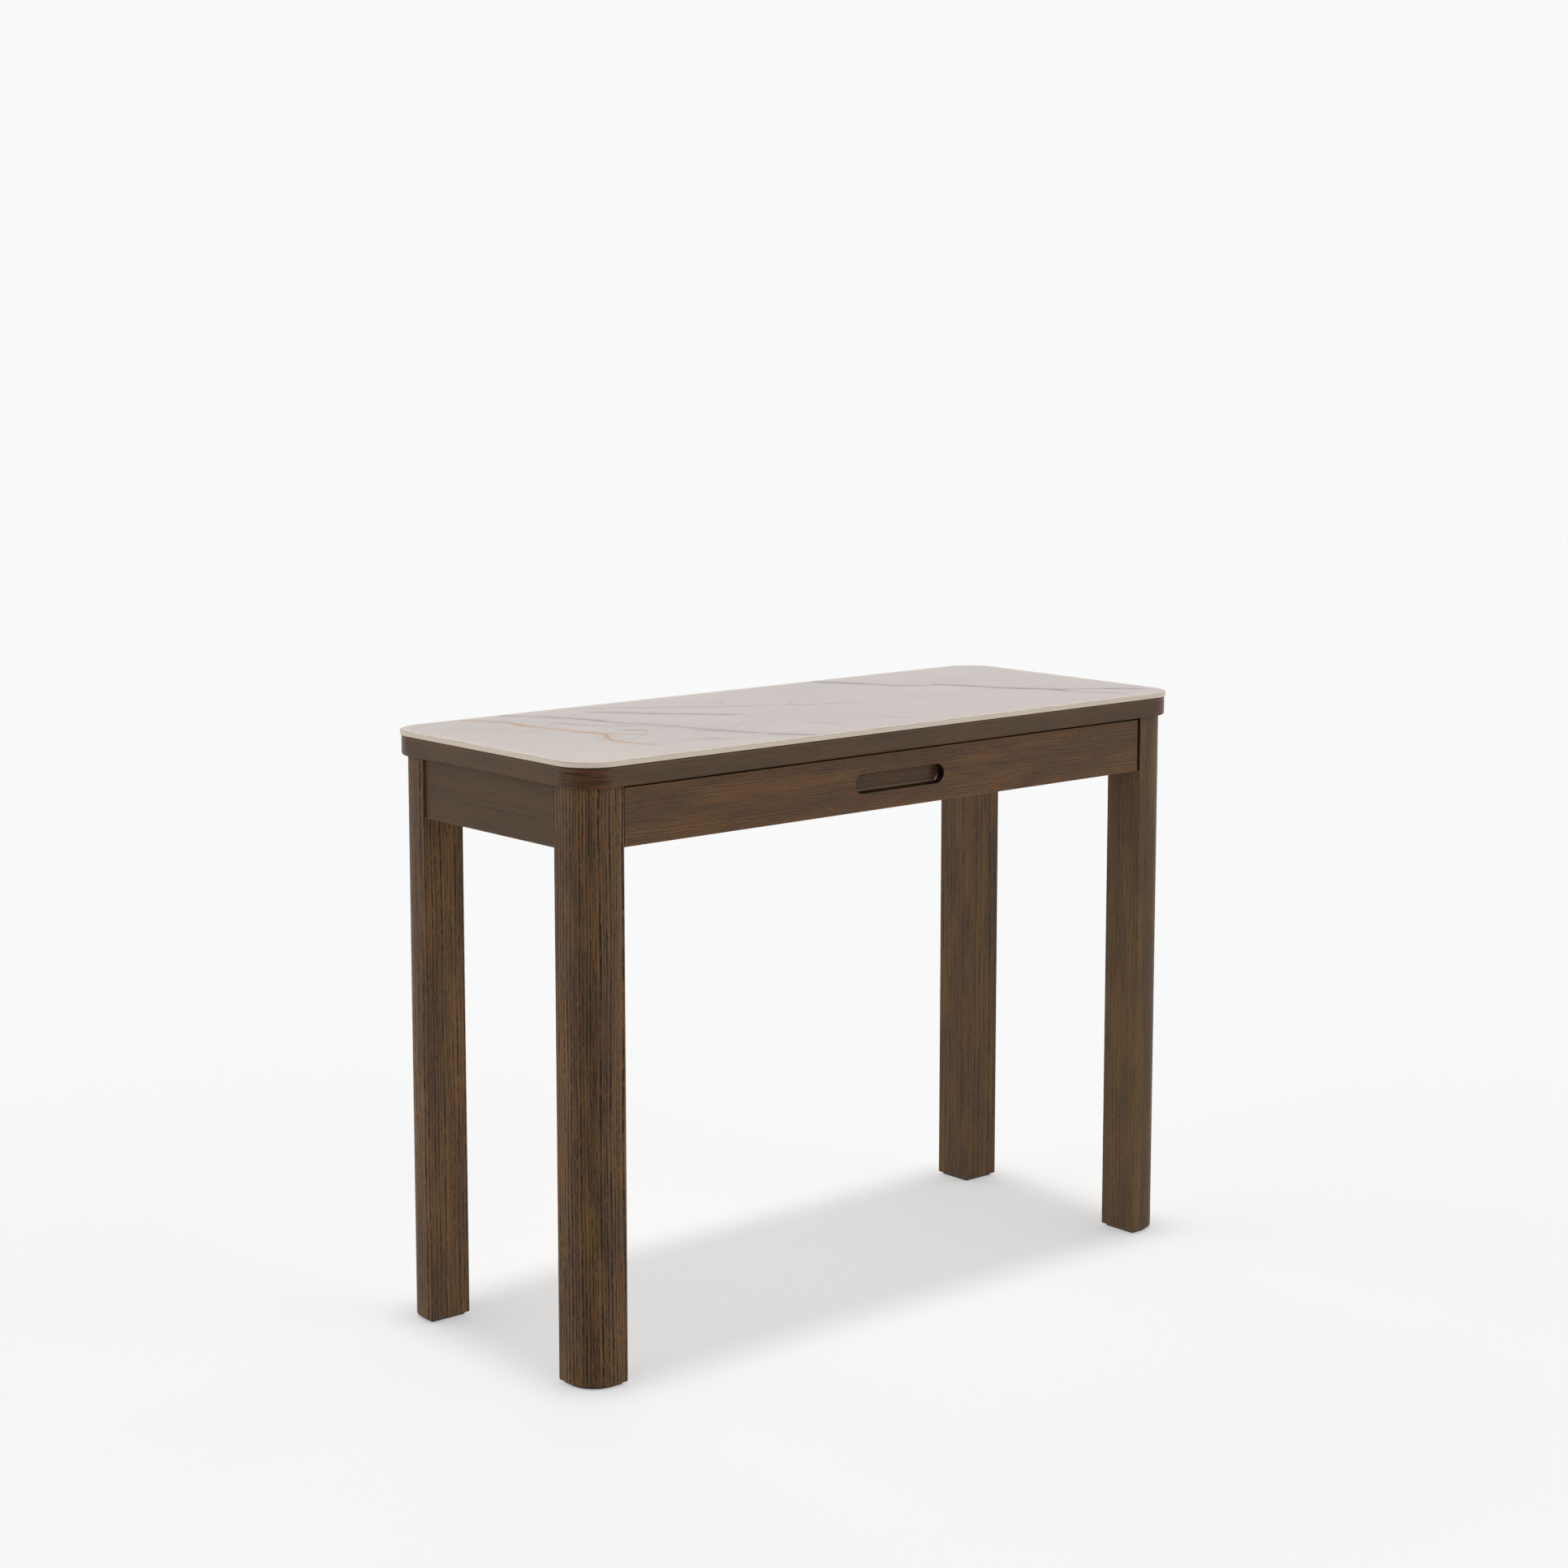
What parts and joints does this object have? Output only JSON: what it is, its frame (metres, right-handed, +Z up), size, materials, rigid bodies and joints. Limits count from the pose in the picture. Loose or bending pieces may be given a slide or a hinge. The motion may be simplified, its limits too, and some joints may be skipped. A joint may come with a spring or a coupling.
{
  "type": "console table",
  "caption": "Slim console table with a thin sintered-stone top on a dark oak frame, with a full-width shallow drawer on ball-bearing slides, opened by a routed finger slot.",
  "frame": {"origin": "on the floor, under the middle of the table", "axes": "+X along the table's length, +Y from the drawer front to the back, +Z up"},
  "size_m": [1, 0.4, 0.74],
  "materials": {
    "sintered_stone": "honed warm grey slab with grey and golden veins",
    "dark_oak": "dark walnut stain, open pores, satin lacquer",
    "board_core": "plain sanded board under the stone, stained underside",
    "pine": "planed, unfinished",
    "beech": "turned dowel",
    "birch_plywood": "clear lacquered",
    "slide_steel": "bright zinc plate",
    "zinc_steel": "zinc plate",
    "black_plastic": "moulded, matte",
    "clear_silicone": "translucent"
  },
  "bodies": {
    "frame": {"back_apron": "dark_oak", "back_left_corner_bracket": "zinc_steel", "back_left_glide": "black_plastic", "back_left_leg": "dark_oak", "back_right_corner_bracket": "zinc_steel", "back_right_glide": "black_plastic", "back_right_leg": "dark_oak", "bracket_screws": "zinc_steel", "drawer_bumpers": "clear_silicone", "front_left_angle_bracket": "zinc_steel", "front_left_glide": "black_plastic", "front_left_leg": "dark_oak", "front_right_angle_bracket": "zinc_steel", "front_right_glide": "black_plastic", "front_right_leg": "dark_oak", "front_top_rail": "pine", "glide_screws": "zinc_steel", "hanger_bolts": "zinc_steel", "hanger_nuts": "zinc_steel", "hanger_washers": "zinc_steel", "joint_dowels": "beech", "left_apron": "dark_oak", "left_slide_cabinet_screws": "zinc_steel", "left_slide_outer": "slide_steel", "left_slide_packer": "pine", "right_apron": "dark_oak", "right_slide_cabinet_screws": "zinc_steel", "right_slide_outer": "slide_steel", "right_slide_packer": "pine", "silicone_bond_pads": "clear_silicone", "stone_top": "sintered_stone", "top_board": "board_core", "top_brackets": "zinc_steel", "top_edge_band": "dark_oak", "top_screws": "zinc_steel"},
    "drawer": {"drawer_back": "birch_plywood", "drawer_bottom": "birch_plywood", "drawer_box_screws": "zinc_steel", "drawer_front": "dark_oak", "drawer_front_screws": "zinc_steel", "drawer_inner_front": "birch_plywood", "drawer_left_side": "birch_plywood", "drawer_right_side": "birch_plywood", "left_slide_drawer_screws": "zinc_steel", "left_slide_inner": "slide_steel", "right_slide_drawer_screws": "zinc_steel", "right_slide_inner": "slide_steel"},
    "left_inner_cage": {"left_inner_ball_cage": "slide_steel"},
    "left_outer_cage": {"left_outer_ball_cage": "slide_steel"},
    "left_middle_member": {"left_slide_middle": "slide_steel"},
    "right_inner_cage": {"right_inner_ball_cage": "slide_steel"},
    "right_outer_cage": {"right_outer_ball_cage": "slide_steel"},
    "right_middle_member": {"right_slide_middle": "slide_steel"}
  },
  "joints": [
    {"name": "drawer_slide", "type": "slide", "parent": "frame", "child": "drawer", "axis": [0, -1, 0], "range_m": [0, 0.24]},
    {"name": "left_middle_member_slide", "type": "slide", "parent": "frame", "child": "left_middle_member", "axis": [0, -1, 0], "range_m": [0, 0.12]},
    {"name": "left_outer_cage_slide", "type": "slide", "parent": "frame", "child": "left_outer_cage", "axis": [0, -1, 0], "range_m": [0, 0.06]},
    {"name": "left_inner_cage_slide", "type": "slide", "parent": "frame", "child": "left_inner_cage", "axis": [0, -1, 0], "range_m": [0, 0.18]},
    {"name": "right_middle_member_slide", "type": "slide", "parent": "frame", "child": "right_middle_member", "axis": [0, -1, 0], "range_m": [0, 0.12]},
    {"name": "right_outer_cage_slide", "type": "slide", "parent": "frame", "child": "right_outer_cage", "axis": [0, -1, 0], "range_m": [0, 0.06]},
    {"name": "right_inner_cage_slide", "type": "slide", "parent": "frame", "child": "right_inner_cage", "axis": [0, -1, 0], "range_m": [0, 0.18]}
  ],
  "couplings": [
    {"joint": "left_middle_member_slide", "follows": "drawer_slide", "ratio": 0.5},
    {"joint": "left_outer_cage_slide", "follows": "drawer_slide", "ratio": 0.25},
    {"joint": "left_inner_cage_slide", "follows": "drawer_slide", "ratio": 0.75},
    {"joint": "right_middle_member_slide", "follows": "drawer_slide", "ratio": 0.5},
    {"joint": "right_outer_cage_slide", "follows": "drawer_slide", "ratio": 0.25},
    {"joint": "right_inner_cage_slide", "follows": "drawer_slide", "ratio": 0.75}
  ]
}
